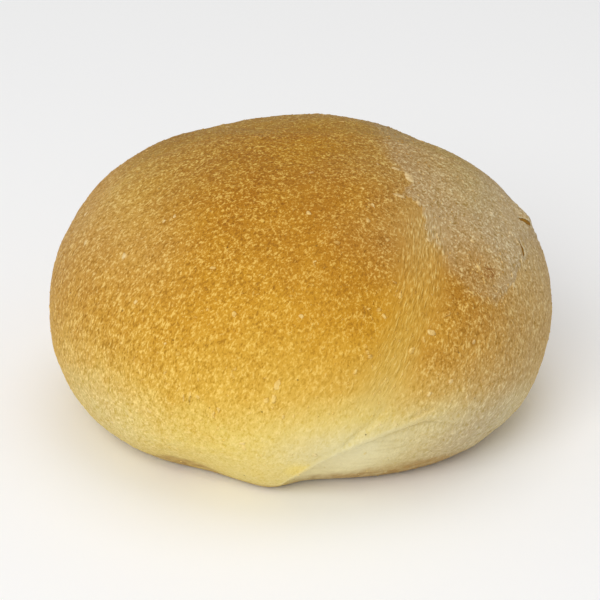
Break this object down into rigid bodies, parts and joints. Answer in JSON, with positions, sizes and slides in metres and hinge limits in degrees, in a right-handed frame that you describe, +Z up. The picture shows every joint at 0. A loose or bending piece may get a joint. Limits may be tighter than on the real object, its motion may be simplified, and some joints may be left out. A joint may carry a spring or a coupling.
{
  "type": "bread roll",
  "caption": "Round bread roll with a browned dome, a pale lower side, a tucked fold of skin at the front and a flat base.",
  "frame": {"origin": "on the surface the roll stands on, under the middle of its box", "axes": "+Z up, +X to the right across the roll's width, -Y towards the front, where the fold and the tongue of skin are"},
  "size_m": [0.1028, 0.0946, 0.0572],
  "materials": {
    "crust": "dry matte baked crust, golden brown above and pale cream below"
  },
  "bodies": {
    "root": {"bread_roll": "crust"}
  },
  "joints": []
}
